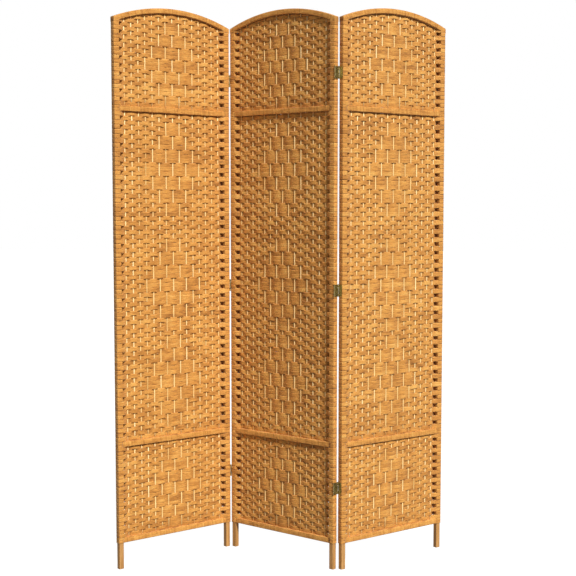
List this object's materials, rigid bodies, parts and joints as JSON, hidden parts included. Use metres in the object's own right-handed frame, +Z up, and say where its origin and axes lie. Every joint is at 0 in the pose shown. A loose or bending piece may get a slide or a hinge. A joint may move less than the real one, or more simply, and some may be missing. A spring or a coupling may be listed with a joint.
{
  "type": "folding screen",
  "caption": "Folding room divider of tall arched panels: diamond-patterned woven fibre on upright sticks in wooden frames with bare legs, joined by two-way brass hinges.",
  "frame": {"origin": "on the floor, under the centre of the bounding box of the screen as it stands in its zigzag", "axes": "+Z up, -Y is the front, +X to the right as seen from the front"},
  "size_m": [1.068, 0.3084, 1.784],
  "materials": {
    "honey_wood": "clear satin varnish on honey-brown softwood",
    "wrapped_rail": "wooden rail closely wrapped with twisted plant fibre, matt",
    "woven_fibre": "twisted honey-brown plant fibre woven over pale wooden sticks, matt",
    "aged_brass": "dull olive-gold plated steel"
  },
  "bodies": {
    "middle_panel": {"middle_panel_left_stile": "honey_wood", "middle_panel_right_stile": "honey_wood", "middle_panel_arched_top_rail": "wrapped_rail", "middle_panel_upper_cross_rail": "wrapped_rail", "middle_panel_lower_cross_rail": "wrapped_rail", "middle_panel_bottom_rail": "wrapped_rail", "middle_panel_top_weave": "woven_fibre", "middle_panel_middle_weave": "woven_fibre", "middle_panel_bottom_weave": "woven_fibre", "left_upper_hinge_right_leaf": "aged_brass", "left_middle_hinge_right_leaf": "aged_brass", "left_lower_hinge_right_leaf": "aged_brass", "right_upper_hinge_left_leaf": "aged_brass", "right_middle_hinge_left_leaf": "aged_brass", "right_lower_hinge_left_leaf": "aged_brass"},
    "left_hinge_links": {"left_upper_hinge_link": "aged_brass", "left_upper_hinge_front_pin": "aged_brass", "left_upper_hinge_back_pin": "aged_brass", "left_middle_hinge_link": "aged_brass", "left_middle_hinge_front_pin": "aged_brass", "left_middle_hinge_back_pin": "aged_brass", "left_lower_hinge_link": "aged_brass", "left_lower_hinge_front_pin": "aged_brass", "left_lower_hinge_back_pin": "aged_brass"},
    "left_panel": {"left_panel_left_stile": "honey_wood", "left_panel_right_stile": "honey_wood", "left_panel_arched_top_rail": "wrapped_rail", "left_panel_upper_cross_rail": "wrapped_rail", "left_panel_lower_cross_rail": "wrapped_rail", "left_panel_bottom_rail": "wrapped_rail", "left_panel_top_weave": "woven_fibre", "left_panel_middle_weave": "woven_fibre", "left_panel_bottom_weave": "woven_fibre", "left_upper_hinge_left_leaf": "aged_brass", "left_middle_hinge_left_leaf": "aged_brass", "left_lower_hinge_left_leaf": "aged_brass"},
    "right_hinge_links": {"right_upper_hinge_link": "aged_brass", "right_upper_hinge_front_pin": "aged_brass", "right_upper_hinge_back_pin": "aged_brass", "right_middle_hinge_link": "aged_brass", "right_middle_hinge_front_pin": "aged_brass", "right_middle_hinge_back_pin": "aged_brass", "right_lower_hinge_link": "aged_brass", "right_lower_hinge_front_pin": "aged_brass", "right_lower_hinge_back_pin": "aged_brass"},
    "right_panel": {"right_panel_left_stile": "honey_wood", "right_panel_right_stile": "honey_wood", "right_panel_arched_top_rail": "wrapped_rail", "right_panel_upper_cross_rail": "wrapped_rail", "right_panel_lower_cross_rail": "wrapped_rail", "right_panel_bottom_rail": "wrapped_rail", "right_panel_top_weave": "woven_fibre", "right_panel_middle_weave": "woven_fibre", "right_panel_bottom_weave": "woven_fibre", "right_upper_hinge_right_leaf": "aged_brass", "right_middle_hinge_right_leaf": "aged_brass", "right_lower_hinge_right_leaf": "aged_brass"}
  },
  "joints": [
    {"name": "left_back_fold", "type": "hinge", "parent": "middle_panel", "child": "left_hinge_links", "pos_m": [-0.16788, 0.15212, 0], "axis": [0, 0, 1], "range_deg": [-90, 0]},
    {"name": "left_front_fold", "type": "hinge", "parent": "left_hinge_links", "child": "left_panel", "pos_m": [-0.18043, 0.13732, 0], "axis": [0, 0, 1], "range_deg": [-80.4, 99.6]},
    {"name": "right_front_fold", "type": "hinge", "parent": "middle_panel", "child": "right_hinge_links", "pos_m": [0.16087, -0.15212, 0], "axis": [0, 0, 1], "range_deg": [-90, 0]},
    {"name": "right_back_fold", "type": "hinge", "parent": "right_hinge_links", "child": "right_panel", "pos_m": [0.17341, -0.13732, 0], "axis": [0, 0, 1], "range_deg": [-78.9, 101.1]}
  ]
}
